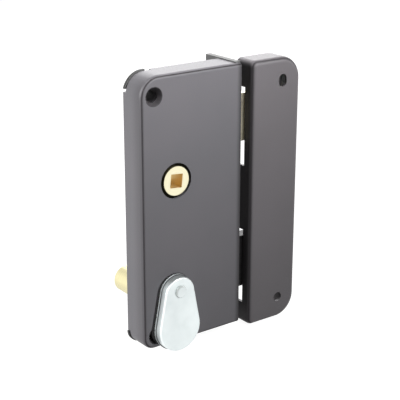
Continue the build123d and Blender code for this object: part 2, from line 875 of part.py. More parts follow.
# Latch head: brass bar, beveled on the door side
with BuildPart() as latch_head:
    with BuildSketch(Plane.XY.offset(latch_bottom)):
        with BuildLine():
            Polyline(
                (latch_head_left, bar_front),
                (latch_nose_x, bar_front),
                (latch_nose_x, bar_front + latch_nose),
                (latch_nose_x - latch_bevel, bar_back),
                (latch_head_left, bar_back),
                close=True,
            )
        make_face()
    extrude(amount=latch_height)
    fillet(edges().filter_by(Axis.Z).sort_by(Axis.X)[-2:], bar_edge_round)
    with BuildSketch(at_depth(bar_middle + latch_tongue_thick / 2 + fixed_gap)):
        plate(
            latch_head_left,
            latch_head_left + latch_tongue_length + fixed_gap,
            latch_tail_bottom - fixed_gap,
            latch_tail_top + fixed_gap,
        )
    extrude(amount=latch_tongue_thick + 2 * fixed_gap, mode=Mode.SUBTRACT)
    with BuildSketch(at_depth(bar_back)):
        with Locations((latch_pin_x + latch_throw / 2, latch_pin_z)):
            SlotCenterToCenter(latch_throw, 2 * guide_slot_r)
        for z in latch_rivet_levels:
            with Locations((latch_rivet_x, z)):
                Circle(latch_rivet_r + fixed_gap)
    extrude(amount=bar_thick, mode=Mode.SUBTRACT)
    with BuildSketch(Plane(origin=(latch_head_left, bar_middle, spring_z), z_dir=(1, 0, 0))):
        Circle(spring_rod_r + fixed_gap)
    extrude(amount=spring_rod_socket, mode=Mode.SUBTRACT)
finish(latch_head, "latch_head")

# Latch tail: steel bar with the finger's notch, the guide slot and a tongue in the head
with BuildPart() as latch_tail:
    with BuildSketch(at_depth(bar_back)):
        plate(latch_tail_left, latch_head_left, latch_tail_bottom, latch_tail_top)
    extrude(amount=bar_thick)
    with BuildSketch(at_depth(bar_middle + latch_tongue_thick / 2)):
        plate(latch_head_left, latch_head_left + latch_tongue_length, latch_tail_bottom, latch_tail_top)
    extrude(amount=latch_tongue_thick)
    with BuildSketch(at_depth(bar_back)):
        plate(finger_x - finger_notch_r, finger_x + finger_notch_r, latch_tail_bottom, finger_top)
        with Locations((latch_pin_x + latch_throw / 2, latch_pin_z)):
            SlotCenterToCenter(latch_throw, 2 * guide_slot_r)
        for z in latch_rivet_levels:
            with Locations((latch_rivet_x, z)):
                Circle(latch_rivet_r + fixed_gap)
    extrude(amount=bar_thick, mode=Mode.SUBTRACT)
finish(latch_tail, "latch_tail")

for number, z in enumerate(latch_rivet_levels, 1):
    with BuildPart() as latch_rivet:
        disc(latch_rivet_x, z, latch_rivet_r, bar_front, bar_back)
    finish(latch_rivet, f"latch_rivet_{number}")

# Rod in the latch head that keeps the spring straight
with BuildPart() as spring_rod:
    with BuildSketch(
        Plane(origin=(latch_head_left + spring_rod_socket, bar_middle, spring_z), z_dir=(-1, 0, 0))
    ):
        Circle(spring_rod_r)
    extrude(amount=spring_rod_socket + spring_rod_length)
finish(spring_rod, "spring_rod")

# Deadbolt: one steel bar with the slots of the guide pin and of the cam pin
with BuildPart() as deadbolt:
    with BuildSketch(at_depth(bar_back)):
        plate(bolt_head_left, bolt_nose_x, bolt_bottom, bolt_top)
        plate(bolt_tail_left, bolt_head_left, bolt_tail_bottom, bolt_top)
    extrude(amount=bar_thick)
    fillet(faces().sort_by(Axis.X)[-1].edges(), bar_edge_round)
    with BuildSketch(at_depth(bar_back)):
        with Locations((bolt_pin_x + bolt_throw / 2, bolt_pin_z)):
            SlotCenterToCenter(bolt_throw, 2 * guide_slot_r)
        plate(
            cam_pin_rest_x - cam_slot_r, cam_pin_rest_x + cam_slot_r, bolt_tail_bottom, cam_slot_top
        )
    extrude(amount=bar_thick, mode=Mode.SUBTRACT)
finish(deadbolt, "deadbolt")

# Plug: brass bar with a key slot at both ends, a groove for the clip and a flat for the cam
with BuildPart() as barrel_plug:
    turned(
        [
            (0, plug_front),
            (plug_r, plug_front),
            (plug_r, clip_front),
            (clip_groove_r, clip_front),
            (clip_groove_r, clip_back),
            (plug_r, clip_back),
            (plug_r, plug_back - plug_head_thick),
            (plug_head_r, plug_back - plug_head_thick),
            (plug_head_r, plug_back),
            (0, plug_back),
        ],
        0,
        key_z,
    )
    with BuildSketch(at_depth(clip_back)):
        plate(-plug_r, plug_r, key_z - plug_r, key_z - cam_flat)
    extrude(amount=clip_back - plug_front, mode=Mode.SUBTRACT)
    for y, depth in ((plug_back, key_slot_depth), (plug_front, -key_slot_depth)):
        with BuildSketch(at_depth(y)):
            plate(
                -key_slot_width / 2,
                key_slot_width / 2,
                key_z - key_slot_height / 2,
                key_z + key_slot_height / 2,
            )
        extrude(amount=depth, mode=Mode.SUBTRACT)
finish(barrel_plug, "barrel_plug")

# Cam on the plug
with BuildPart() as bolt_cam:
    with BuildSketch(at_depth(cam_back)):
        with Locations((0, key_z)):
            Circle(cam_hub_r)
        with Locations((cam_pin_rest_x, cam_pin_rest_z)):
            Circle(cam_end_r)
        make_hull()
        with BuildSketch(Plane.XY, mode=Mode.PRIVATE) as bore:
            with Locations((0, key_z)):
                Circle(plug_r + fixed_gap)
            plate(
                -2 * plug_r,
                2 * plug_r,
                key_z - 2 * plug_r,
                key_z - cam_flat - fixed_gap,
                mode=Mode.SUBTRACT,
            )
        add(bore.sketch, mode=Mode.SUBTRACT)
        with Locations((cam_pin_rest_x, cam_pin_rest_z)):
            Circle(cam_pin_neck_r + fixed_gap, mode=Mode.SUBTRACT)
    extrude(amount=cam_thick)
finish(bolt_cam, "bolt_cam")

# Pin riveted into the cam
with BuildPart() as cam_pin:
    turned(
        [
            (0, cam_front),
            (cam_pin_neck_r, cam_front),
            (cam_pin_neck_r, cam_back),
            (cam_pin_r, cam_back),
            (cam_pin_r, bar_back - cam_pin_short),
            (0, bar_back - cam_pin_short),
        ],
        cam_pin_rest_x,
        cam_pin_rest_z,
    )
finish(cam_pin, "cam_pin")

# Open clip in the groove of the plug, behind the cam
with BuildPart() as plug_clip:
    with BuildSketch(at_depth(clip_back)):
        with Locations((0, key_z)):
            Circle(clip_r)
            Circle(clip_groove_r + fixed_gap, mode=Mode.SUBTRACT)
        plate(-clip_mouth / 2, clip_mouth / 2, key_z - clip_r, key_z, mode=Mode.SUBTRACT)
    extrude(amount=clip_thick)
finish(plug_clip, "plug_clip")

# Keyhole cover: a pressed pear-shaped cap with a boss on the rivet
with BuildPart() as keyhole_cover:
    extrude(pear(cover_back), amount=cover_depth)
    fillet(faces().sort_by(Axis.Y)[0].edges(), cover_round)
    extrude(pear(cover_back, -cover_sheet), amount=cover_depth - cover_sheet, mode=Mode.SUBTRACT)
    disc(cover_x, cover_pivot_z, cover_boss_r, cover_inside, cover_back)
    disc(cover_x, cover_pivot_z, rivet_r + running_gap, cover_front, cover_back, Mode.SUBTRACT)
finish(keyhole_cover, "keyhole_cover")

# Keeper shell: a pressed steel box, open at the back and windowed towards the case
with BuildPart() as keeper_shell:
    with BuildSketch(at_depth(keeper_back)):
        plate(keeper_left, keeper_right, keeper_bottom, keeper_top, keeper_small_corner, keeper_corner)
    extrude(amount=keeper_depth)
    fillet(faces().sort_by(Axis.Y)[0].edges(), keeper_bend)
    with BuildSketch(at_depth(keeper_back)):
        plate(
            keeper_left + sheet,
            keeper_right - sheet,
            keeper_bottom + sheet,
            keeper_top - sheet,
            keeper_small_corner - sheet,
            keeper_corner - sheet,
        )
    extrude(amount=keeper_depth - sheet, mode=Mode.SUBTRACT)
    with BuildSketch(at_depth(keeper_back)):
        for top in keeper_window_tops:
            plate(keeper_left, keeper_left + sheet, top - keeper_window, top)
    extrude(amount=keeper_back - keeper_lip_back, mode=Mode.SUBTRACT)
    keeper_slot(keeper_front + sheet, sheet)
    disc(keeper_screw_x, keeper_hole_z, keeper_hole_r, keeper_front, keeper_front + sheet, Mode.SUBTRACT)
    for z in brace_rivet_levels:
        with BuildSketch(Plane(origin=(keeper_right, brace_rivet_y, z), z_dir=(-1, 0, 0))):
            Circle(brace_rivet_r + fixed_gap)
        extrude(amount=sheet, mode=Mode.SUBTRACT)
finish(keeper_shell, "keeper_shell")

# Brace inside the keeper behind its screw slot, riveted to the far wall
with BuildPart() as keeper_brace:
    with BuildSketch(at_depth(keeper_back)):
        plate(brace_left, keeper_right - sheet, brace_bottom, keeper_top - sheet)
        plate(
            keeper_left + sheet,
            keeper_right - sheet,
            keeper_bottom + sheet,
            keeper_top - sheet - fixed_gap,
            keeper_small_corner,
            keeper_corner - sheet,
            mode=Mode.INTERSECT,
        )
    extrude(amount=brace_thick)
    with BuildSketch(at_depth(keeper_back)):
        plate(
            keeper_right - sheet - brace_thick,
            keeper_right - sheet,
            brace_bottom,
            keeper_slot_z,
        )
    extrude(amount=brace_flange)
    keeper_slot(keeper_back, brace_thick)
    for z in brace_rivet_levels:
        with BuildSketch(Plane(origin=(keeper_right - sheet, brace_rivet_y, z), z_dir=(-1, 0, 0))):
            Circle(brace_rivet_r + fixed_gap)
        extrude(amount=brace_thick, mode=Mode.SUBTRACT)
finish(keeper_brace, "keeper_brace")

for number, z in enumerate(brace_rivet_levels, 1):
    with BuildPart() as keeper_rivet:
        with BuildSketch(Plane(origin=(keeper_right, brace_rivet_y, z), z_dir=(-1, 0, 0))):
            Circle(brace_rivet_r)
        extrude(amount=sheet + brace_thick + brace_rivet_head_thick)
        with BuildSketch(
            Plane(origin=(keeper_right - sheet - brace_thick, brace_rivet_y, z), z_dir=(-1, 0, 0))
        ):
            Circle(brace_rivet_head_r)
        extrude(amount=brace_rivet_head_thick)
    finish(keeper_rivet, f"keeper_rivet_{number}")
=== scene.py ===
import bmesh
import bpy
from math import asin, cos, pi, radians, sin
from mathutils import Matrix, Vector


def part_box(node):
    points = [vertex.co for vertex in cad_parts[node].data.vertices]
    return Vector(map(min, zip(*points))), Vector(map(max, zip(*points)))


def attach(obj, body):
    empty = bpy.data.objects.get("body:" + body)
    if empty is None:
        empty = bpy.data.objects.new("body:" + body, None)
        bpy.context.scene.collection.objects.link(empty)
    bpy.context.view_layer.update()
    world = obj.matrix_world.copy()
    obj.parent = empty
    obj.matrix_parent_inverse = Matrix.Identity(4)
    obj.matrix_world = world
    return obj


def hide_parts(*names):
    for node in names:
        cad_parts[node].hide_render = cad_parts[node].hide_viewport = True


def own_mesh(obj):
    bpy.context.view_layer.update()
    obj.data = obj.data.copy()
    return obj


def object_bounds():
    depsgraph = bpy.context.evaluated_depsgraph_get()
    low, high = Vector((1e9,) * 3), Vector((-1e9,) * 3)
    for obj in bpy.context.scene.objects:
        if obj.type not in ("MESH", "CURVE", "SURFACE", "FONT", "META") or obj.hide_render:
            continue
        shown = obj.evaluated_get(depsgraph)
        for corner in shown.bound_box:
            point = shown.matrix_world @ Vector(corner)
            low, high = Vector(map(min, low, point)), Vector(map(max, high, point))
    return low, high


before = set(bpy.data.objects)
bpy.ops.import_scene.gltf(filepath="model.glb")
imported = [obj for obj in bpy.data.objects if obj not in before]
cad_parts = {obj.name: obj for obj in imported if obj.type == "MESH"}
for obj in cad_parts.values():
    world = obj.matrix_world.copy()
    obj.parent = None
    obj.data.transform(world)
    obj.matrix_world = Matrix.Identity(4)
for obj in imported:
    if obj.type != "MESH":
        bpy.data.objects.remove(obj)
cad_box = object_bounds()


# Camera. It stands to the left of the lock and a little above it, where a fit to the case's
# corners and the faceplate in the photograph puts it, and looks through a long lens.
azimuth = radians(36.69)
elevation = radians(18.83)
roll = radians(0.09)
camera_place = (-0.2970, -0.4330, 0.1650)
ahead = Vector((sin(azimuth) * cos(elevation), cos(azimuth) * cos(elevation), -sin(elevation)))
level_right = Vector((cos(azimuth), -sin(azimuth), 0))
level_up = level_right.cross(ahead)
camera_right = cos(roll) * level_right + sin(roll) * level_up
camera_up = camera_right.cross(ahead)
camera_data = bpy.data.cameras.new("camera")
camera_data.sensor_width = 36
camera_data.lens = 99.5
camera_data.clip_start = 0.01
camera = bpy.data.objects.new("camera", camera_data)
bpy.context.collection.objects.link(camera)
camera.matrix_world = Matrix.Translation(camera_place) @ Matrix((
    (camera_right.x, camera_up.x, -ahead.x, 0),
    (camera_right.y, camera_up.y, -ahead.y, 0),
    (camera_right.z, camera_up.z, -ahead.z, 0),
    (0, 0, 0, 1),
))
bpy.context.scene.camera = camera
bpy.context.scene.view_settings.view_transform = "Standard"


# Case shell. A tray pressed from 1.5 mm steel sheet, with two screw holes drawn in, under a satin
# grey stoved paint. Painted shade and reflection darken the paint over the bends, painted shade
# darkens it in the holes and along the faceplate's edge, and painted shade deepens the closed
# side towards its front.
def effect_group(name, takes, gives):
    """Empty node group; takes has the name, kind and first value of each input."""
    group = bpy.data.node_groups.new(name, "ShaderNodeTree")
    for label, kind, value in takes:
        socket = group.interface.new_socket(name=label, in_out="INPUT", socket_type="NodeSocket" + kind)
        socket.default_value = value
    for label, kind in gives:
        group.interface.new_socket(name=label, in_out="OUTPUT", socket_type="NodeSocket" + kind)
    given = group.nodes.new("NodeGroupInput").outputs
    made = group.nodes.new("NodeGroupOutput").inputs
    return group, given, made


def feed(tree, value, socket):
    """Give an input the value of another socket, or a value that stays."""
    if isinstance(value, bpy.types.NodeSocket):
        tree.links.new(value, socket)
    else:
        socket.default_value = value


def math_node(tree, operation, *values):
    """Result of a math node for sockets or numbers."""
    node = tree.nodes.new("ShaderNodeMath")
    node.operation = operation
    for value, socket in zip(values, node.inputs):
        feed(tree, value, socket)
    return node.outputs["Value"]


def vector_node(tree, operation, *values):
    """Outputs of a vector math node for sockets or triples of numbers."""
    node = tree.nodes.new("ShaderNodeVectorMath")
    node.operation = operation
    for value, socket in zip(values, node.inputs):
        feed(tree, value, socket)
    return node.outputs


def coordinate(tree, kind):
    """Object for the place on the piece, Normal for the way its surface faces."""
    return tree.nodes.new("ShaderNodeTexCoord").outputs[kind]


def part_of(tree, vector, axis):
    """The X, Y or Z of a vector."""
    parts = tree.nodes.new("ShaderNodeSeparateXYZ")
    feed(tree, vector, parts.inputs["Vector"])
    return parts.outputs[axis]


def ramp_node(tree, value, start, end, smooth=False):
    """Goes from 0 where the value is at start to 1 where it is at end, whichever is larger."""
    ramp = tree.nodes.new("ShaderNodeMapRange")
    if smooth:
        ramp.interpolation_type = "SMOOTHSTEP"
    feed(tree, value, ramp.inputs["Value"])
    feed(tree, start, ramp.inputs["From Min"])
    feed(tree, end, ramp.inputs["From Max"])
    return ramp.outputs["Result"]


def noise_node(tree, place, scale, detail):
    """Noise at a place, with the share that it keeps to spread over 0 to 1."""
    usual_least, usual_most = 0.3, 0.7
    noise = tree.nodes.new("ShaderNodeTexNoise")
    feed(tree, place, noise.inputs["Vector"])
    feed(tree, scale, noise.inputs["Scale"])
    feed(tree, detail, noise.inputs["Detail"])
    return ramp_node(tree, noise.outputs["Fac"], usual_least, usual_most)


def blend_node(tree, mask, first, second):
    """Mix of two colours by a mask; the sockets of this node for colours are known by number."""
    factor_in, first_in, second_in, colour_out = 0, 6, 7, 2
    mix = tree.nodes.new("ShaderNodeMix")
    mix.data_type = "RGBA"
    feed(tree, mask, mix.inputs[factor_in])
    feed(tree, first, mix.inputs[first_in])
    feed(tree, second, mix.inputs[second_in])
    return mix.outputs[colour_out]


def send_surface(tree, given, made, tone, second_colour, height, rougher):
    """Outputs of a surface: two colours mixed by a tone, and a height that also roughens it."""
    feed(tree, blend_node(tree, tone, given["Color"], given[second_colour]), made["Color"])
    roughness = math_node(tree, "MULTIPLY_ADD", height, rougher, given["Roughness"])
    feed(tree, roughness, made["Roughness"])
    feed(tree, height, made["Height"])


surface_outputs = [("Color", "Color"), ("Roughness", "Float"), ("Height", "Float")]
stoved_paint, given, made = effect_group(
    "stoved_paint",
    [("Color", "Color", (0.1, 0.1, 0.1, 1)), ("Cloud Color", "Color", (0.1, 0.1, 0.1, 1)),
     ("Cloud Scale", "Float", 30), ("Peel Scale", "Float", 1100), ("Roughness", "Float", 0.4)],
    surface_outputs,
)
spot = coordinate(stoved_paint, "Object")
cloud = noise_node(stoved_paint, spot, given["Cloud Scale"], detail=2)
peel = noise_node(stoved_paint, spot, given["Peel Scale"], detail=2)
send_surface(stoved_paint, given, made, cloud, "Cloud Color", peel, rougher=0.08)

bend_line, given, made = effect_group(
    "bend_line",
    [("Towards", "Vector", (0, -1, 0)), ("Middle", "Float", 0.72), ("Spread", "Float", 0.27),
     ("Strength", "Float", 0.5)],
    [("Mask", "Float")],
)
normal = coordinate(bend_line, "Normal")
facing = vector_node(bend_line, "DOT_PRODUCT", normal, given["Towards"])["Value"]
off = math_node(bend_line, "ABSOLUTE", math_node(bend_line, "SUBTRACT", facing, given["Middle"]))
near = ramp_node(bend_line, off, given["Spread"], 0, smooth=True)
feed(bend_line, math_node(bend_line, "MULTIPLY", near, given["Strength"]), made["Mask"])

edge_line, given, made = effect_group(
    "edge_line",
    [("Start", "Float", 0.0), ("Width", "Float", 0.002), ("Strength", "Float", 0.5)],
    [("Mask", "Float")],
)
sideways = part_of(edge_line, coordinate(edge_line, "Object"), "X")
full_at = math_node(edge_line, "ADD", given["Start"], given["Width"])
near = ramp_node(edge_line, sideways, given["Start"], full_at, smooth=True)
feed(edge_line, math_node(edge_line, "MULTIPLY", near, given["Strength"]), made["Mask"])

side_fade, given, made = effect_group(
    "side_fade",
    [("Start", "Float", 0.0), ("End", "Float", 0.01), ("Strength", "Float", 1.0)],
    [("Mask", "Float")],
)
depth = part_of(side_fade, coordinate(side_fade, "Object"), "Y")
deep = ramp_node(side_fade, depth, given["Start"], given["End"], smooth=True)
leftward = math_node(side_fade, "MULTIPLY", part_of(side_fade, coordinate(side_fade, "Normal"), "X"), -1)
deep_side = math_node(side_fade, "MULTIPLY", deep, math_node(side_fade, "MAXIMUM", leftward, 0))
feed(side_fade, math_node(side_fade, "MULTIPLY", deep_side, given["Strength"]), made["Mask"])


def axis_distance(tree, centre):
    """Distance from the axis through a centre along Y, and the place along that axis."""
    from_centre = vector_node(tree, "SUBTRACT", coordinate(tree, "Object"), centre)["Vector"]
    across = vector_node(tree, "MULTIPLY", from_centre, (1, 0, 1))["Vector"]
    return vector_node(tree, "LENGTH", across)["Value"], part_of(tree, from_centre, "Y")


# The mask starts at the radius and is full beyond it, or within it if the softness is negative.
rim_line, given, made = effect_group(
    "rim_line",
    [("Centre", "Vector", (0, 0, 0)), ("Radius", "Float", 0.01), ("Softness", "Float", 0.0001)],
    [("Mask", "Float")],
)
out_from = axis_distance(rim_line, given["Centre"])[0]
full_at = math_node(rim_line, "ADD", given["Radius"], given["Softness"])
feed(rim_line, ramp_node(rim_line, out_from, given["Radius"], full_at), made["Mask"])


def place_effect(tree, effect, values):
    """Outputs of an effect's group, with its values, in a material."""
    node = tree.nodes.new("ShaderNodeGroup")
    node.node_tree = effect
    for label, value in values.items():
        node.inputs[label].default_value = value
    return node.outputs


def shade(effect, colour, rougher, **values):
    """Mask effect with its values, the colour under the mask, and how much rougher it is there."""
    return effect, colour, rougher, values


def finish_of(name, effect, values, metallic, relief, shades=()):
    """Material of one surface effect under some shades; relief is the depth of its bumps."""
    material = bpy.data.materials.new(name)
    material.use_nodes = True
    tree = material.node_tree
    shader = tree.nodes["Principled BSDF"].inputs
    shader["Metallic"].default_value = metallic
    shader["IOR"].default_value = 1.4
    surface = place_effect(tree, effect, values)
    colour = surface["Color"]
    roughness = surface["Roughness"]
    for mask_effect, mask_colour, rougher, mask_values in shades:
        mask = place_effect(tree, mask_effect, mask_values)["Mask"]
        colour = blend_node(tree, mask, colour, (*mask_colour, 1))
        roughness = math_node(tree, "MULTIPLY_ADD", mask, rougher, roughness)
    feed(tree, colour, shader["Base Color"])
    feed(tree, roughness, shader["Roughness"])
    bump = tree.nodes.new("ShaderNodeBump")
    bump.inputs["Distance"].default_value = relief
    feed(tree, surface["Height"], bump.inputs["Height"])
    feed(tree, bump.outputs["Normal"], shader["Normal"])
    return material


def dress(material, *names):
    """Give CAD nodes a material."""
    for name in names:
        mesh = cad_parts[name].data
        mesh.materials.clear()
        mesh.materials.append(material)


def axis_of(name):
    """Where the middle of a CAD node's box is, seen from the front, with 0 for its depth."""
    low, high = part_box(name)
    return (low[0] + high[0]) / 2, 0, (low[2] + high[2]) / 2


case_low, case_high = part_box("case_shell")
# Painted shade: over bends and in holes, towards the closed side's front, along the faceplate's edge.
shade_paint = (0.030, 0.027, 0.030)
side_shade_paint = (0.077, 0.073, 0.080)
edge_shade_paint = (0.012, 0.011, 0.012)
edge_width = 0.0032
fade_start = case_low[1] + 0.0095
fade_end = case_low[1] + 0.0015
# Painted shade in the two screw holes.
hole_shades = [
    shade(rim_line, shade_paint, rougher=0.3, Centre=axis_of(sleeve), Radius=0.0050, Softness=-0.0006)
    for sleeve in ("screw_sleeve_1", "screw_sleeve_2")
]
case_paint = finish_of(
    "case_paint",
    stoved_paint,
    {"Color": (0.118, 0.113, 0.123, 1), "Cloud Color": (0.108, 0.106, 0.115, 1),
     "Cloud Scale": 30, "Peel Scale": 1100, "Roughness": 0.40},
    metallic=0.1,
    relief=0.00001,
    shades=[
        shade(side_fade, side_shade_paint, rougher=0, Start=fade_start, End=fade_end, Strength=1.0),
        shade(bend_line, shade_paint, rougher=0.35, Middle=0.79, Spread=0.21, Strength=1.4),
        shade(edge_line, edge_shade_paint, rougher=0.2, Start=case_high[0] - edge_width,
              Width=edge_width, Strength=0.8),
        *hole_shades,
    ],
)
dress(case_paint, "case_shell")


# Back plate and faceplate. Flat steel blanks in the same paint: the plate lies on the door with
# its ears in the shell's corners and the faces of its edges darker; the faceplate lies on the
# edge of the door.
plate_finish = {
    "Color": (0.085, 0.085, 0.083, 1), "Cloud Color": (0.070, 0.070, 0.071, 1),
    "Cloud Scale": 55, "Peel Scale": 900, "Roughness": 0.46,
}
plate_edge_dark = (0.018, 0.018, 0.018)
plate_paint = finish_of(
    "plate_paint",
    stoved_paint,
    plate_finish,
    metallic=0.1,
    relief=0.00001,
    shades=[shade(bend_line, plate_edge_dark, rougher=0.2, Middle=0.0, Spread=0.8, Strength=0.75)],
)
dress(plate_paint, "back_plate")
faceplate_paint = finish_of(
    "faceplate_paint", stoved_paint, plate_finish, metallic=0.1, relief=0.00001,
)
dress(faceplate_paint, "faceplate")


# Posts, screw sleeves and guide pins. Turned steel between shell and plate: the sleeves are near
# black and guide the wood screws, the posts and pins are bright zinc.
plated_steel, given, made = effect_group(
    "plated_steel",
    [("Color", "Color", (0.7, 0.7, 0.7, 1)), ("Dull Color", "Color", (0.6, 0.6, 0.6, 1)),
     ("Stretch", "Vector", (1, 1, 1)), ("Grain Scale", "Float", 400), ("Roughness", "Float", 0.3)],
    surface_outputs,
)
spot = coordinate(plated_steel, "Object")
stretched = vector_node(plated_steel, "MULTIPLY", spot, given["Stretch"])["Vector"]
grain = noise_node(plated_steel, stretched, given["Grain Scale"], detail=3)
send_surface(plated_steel, given, made, grain, "Dull Color", grain, rougher=0.12)

zinc = finish_of(
    "zinc",
    plated_steel,
    {"Color": (0.62, 0.65, 0.66, 1), "Dull Color": (0.45, 0.48, 0.50, 1),
     "Stretch": (1, 1, 1), "Grain Scale": 420, "Roughness": 0.30},
    metallic=0.85,
    relief=0.000008,
)
dress(zinc, "case_post_1", "case_post_2", "case_post_3", "latch_guide_pin", "bolt_guide_pin")
near_black = finish_of(
    "near_black_steel",
    plated_steel,
    {"Color": (0.016, 0.015, 0.017, 1), "Dull Color": (0.028, 0.026, 0.028, 1),
     "Stretch": (1, 0.2, 1), "Grain Scale": 500, "Roughness": 0.45},
    metallic=0.5,
    relief=0.000008,
)
dress(near_black, "screw_sleeve_1", "screw_sleeve_2")


# Follower. A cast and turned brass hub with a square hole for the spindle of the handle, and a
# steel arm pressed on it whose finger draws the latch back.
turned_brass, given, made = effect_group(
    "turned_brass",
    [("Color", "Color", (0.7, 0.6, 0.3, 1)), ("Dull Color", "Color", (0.5, 0.45, 0.25, 1)),
     ("Centre", "Vector", (0, 0, 0)), ("Rings", "Float", 2500), ("Roughness", "Float", 0.3)],
    surface_outputs,
)
radius, along = axis_distance(turned_brass, given["Centre"])
path = turned_brass.nodes.new("ShaderNodeCombineXYZ")
feed(turned_brass, radius, path.inputs["X"])
feed(turned_brass, along, path.inputs["Y"])
ring = noise_node(turned_brass, path.outputs["Vector"], given["Rings"], detail=2)
send_surface(turned_brass, given, made, ring, "Dull Color", ring, rougher=0.10)

spindle_axis = (0, 0, 0)
# Painted shade: the hub's side faces and square-hole walls a darker brown, and a dark ring at its rim.
hub_side_shade = (0.66, 0.46, 0.17)
hub_rim_shade = (0.028, 0.026, 0.014)
follower_brass = finish_of(
    "follower_brass",
    turned_brass,
    {"Color": (0.89, 0.84, 0.61, 1), "Dull Color": (0.81, 0.76, 0.53, 1),
     "Centre": spindle_axis, "Rings": 1800, "Roughness": 0.32},
    metallic=0.8,
    relief=0.000008,
    shades=[
        shade(bend_line, hub_side_shade, rougher=0, Middle=0.0, Spread=0.75, Strength=0.9),
        shade(rim_line, hub_rim_shade, rougher=0.5, Centre=spindle_axis, Radius=0.0073, Softness=0.0002),
    ],
)
dress(follower_brass, "follower_hub")
dress(zinc, "follower_arm")


# Latch. A bevelled brass head riveted to a steel tail, pushed out by a coil spring on a rod
# that runs in the anchor on the back plate.
latch_brass = finish_of(
    "latch_brass",
    plated_steel,
    {"Color": (0.94, 0.89, 0.70, 1), "Dull Color": (0.80, 0.74, 0.54, 1),
     "Stretch": (0.15, 1, 1), "Grain Scale": 700, "Roughness": 0.32},
    metallic=0.8,
    relief=0.000008,
)
dress(latch_brass, "latch_head")
dress(zinc, "latch_tail", "latch_rivet_1", "latch_rivet_2", "spring_rod", "spring_anchor", "anchor_rivet")
spring_steel = finish_of(
    "spring_steel",
    plated_steel,
    {"Color": (0.36, 0.36, 0.37, 1), "Dull Color": (0.24, 0.24, 0.26, 1),
     "Stretch": (1, 1, 1), "Grain Scale": 900, "Roughness": 0.26},
    metallic=0.9,
    relief=0.000004,
)


def mesh_piece(name, form, material, smooth):
    """Object of a finished form, with its faces turned outward."""
    bmesh.ops.recalc_face_normals(form, faces=form.faces)
    for face in form.faces:
        face.smooth = smooth
    mesh = bpy.data.meshes.new(name)
    form.to_mesh(mesh)
    form.free()
    mesh.materials.append(material)
    piece = bpy.data.objects.new(name, mesh)
    bpy.context.collection.objects.link(piece)
    return piece


spring_low, spring_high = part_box("latch_spring")
wire_radius = 0.0004
coil_radius = 0.0024
coil_turns = 9
turn_steps = 28
wire_sides = 12
coil_start = spring_low[0] + wire_radius
coil_end = spring_high[0] - wire_radius
coil_axis = ((spring_low[1] + spring_high[1]) / 2, (spring_low[2] + spring_high[2]) / 2)
coil_steps = coil_turns * turn_steps
coil_way = Vector((1, 0, 0))
form = bmesh.new()
rings = []
for step in range(coil_steps + 1):
    turn = 2 * pi * coil_turns * step / coil_steps
    out = Vector((0, cos(turn), sin(turn)))
    reached = coil_start + (coil_end - coil_start) * step / coil_steps
    wire_middle = Vector((reached, *coil_axis)) + coil_radius * out
    rings.append([
        form.verts.new(wire_middle + wire_radius * (cos(side) * out + sin(side) * coil_way))
        for side in (2 * pi * number / wire_sides for number in range(wire_sides))
    ])
for near, far in zip(rings, rings[1:]):
    for number in range(wire_sides):
        form.faces.new((near[number - 1], near[number], far[number], far[number - 1]))
form.faces.new(rings[0])
form.faces.new(rings[-1])
coil_spring = mesh_piece("coil_spring", form, spring_steel, smooth=True)
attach(coil_spring, "lock_case")
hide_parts("latch_spring")
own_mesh(coil_spring)


# Deadbolt. A thick blank of nearly black steel, moved by the pin of a cam on the lock barrel's
# plug and held at both ends of its way by a leaf spring riveted to the back plate.
bolt_steel = finish_of(
    "bolt_steel",
    plated_steel,
    {"Color": (0.030, 0.029, 0.031, 1), "Dull Color": (0.045, 0.043, 0.044, 1),
     "Stretch": (0.12, 1, 1), "Grain Scale": 600, "Roughness": 0.42},
    metallic=0.7,
    relief=0.000008,
)
dress(bolt_steel, "deadbolt")
dress(zinc, "bolt_cam", "cam_pin", "leaf_rivet_1", "leaf_rivet_2")
dress(spring_steel, "bolt_leaf_spring", "plug_clip")


# Lock barrel. A pale brass tube through the door, flanged and riveted to the back plate, with
# its plug and the bush that the plug ends in under the cover.
key_axis = (0, 0, -0.067)
barrel_brass = finish_of(
    "barrel_brass",
    turned_brass,
    {"Color": (0.71, 0.655, 0.40, 1), "Dull Color": (0.62, 0.565, 0.33, 1),
     "Centre": key_axis, "Rings": 1500, "Roughness": 0.36},
    metallic=0.7,
    relief=0.000006,
)
dress(barrel_brass, "barrel_tube", "barrel_plug", "front_bush")
dress(zinc, "barrel_rivet_1", "barrel_rivet_2")


# Keyhole cover. A pear-shaped cup drawn from nickelled steel, whose wall keeps the lines of the
# die; it hangs on a rivet over a base of the same outline and swings aside for the key. The cup
# carries a painted highlight on its front rim and painted shade on the top of its wall and on the
# rivet. A thin black sheet round the base, which ends above the case's lower edge, is painted
# shadow on the case.
nickel_finish = {
    "Color": (0.87, 0.93, 0.93, 1), "Dull Color": (0.74, 0.80, 0.80, 1),
    "Stretch": (0.05, 1, 0.05), "Grain Scale": 1500, "Roughness": 0.30,
}
# Painted highlight along the cup's front rim, and painted shade on the top of its wall.
rim_highlight = (0.92, 0.95, 0.96)
top_wall_shade = (0.18, 0.19, 0.19)
cover_nickel = finish_of(
    "cover_nickel",
    plated_steel,
    nickel_finish,
    metallic=0.65,
    relief=0.00001,
    shades=[
        shade(bend_line, rim_highlight, rougher=0, Middle=0.80, Spread=0.18, Strength=0.7),
        shade(bend_line, top_wall_shade, rougher=0.25, Towards=(0, 0, 1), Middle=1.0, Spread=0.6,
              Strength=0.85),
    ],
)
dress(cover_nickel, "keyhole_cover")

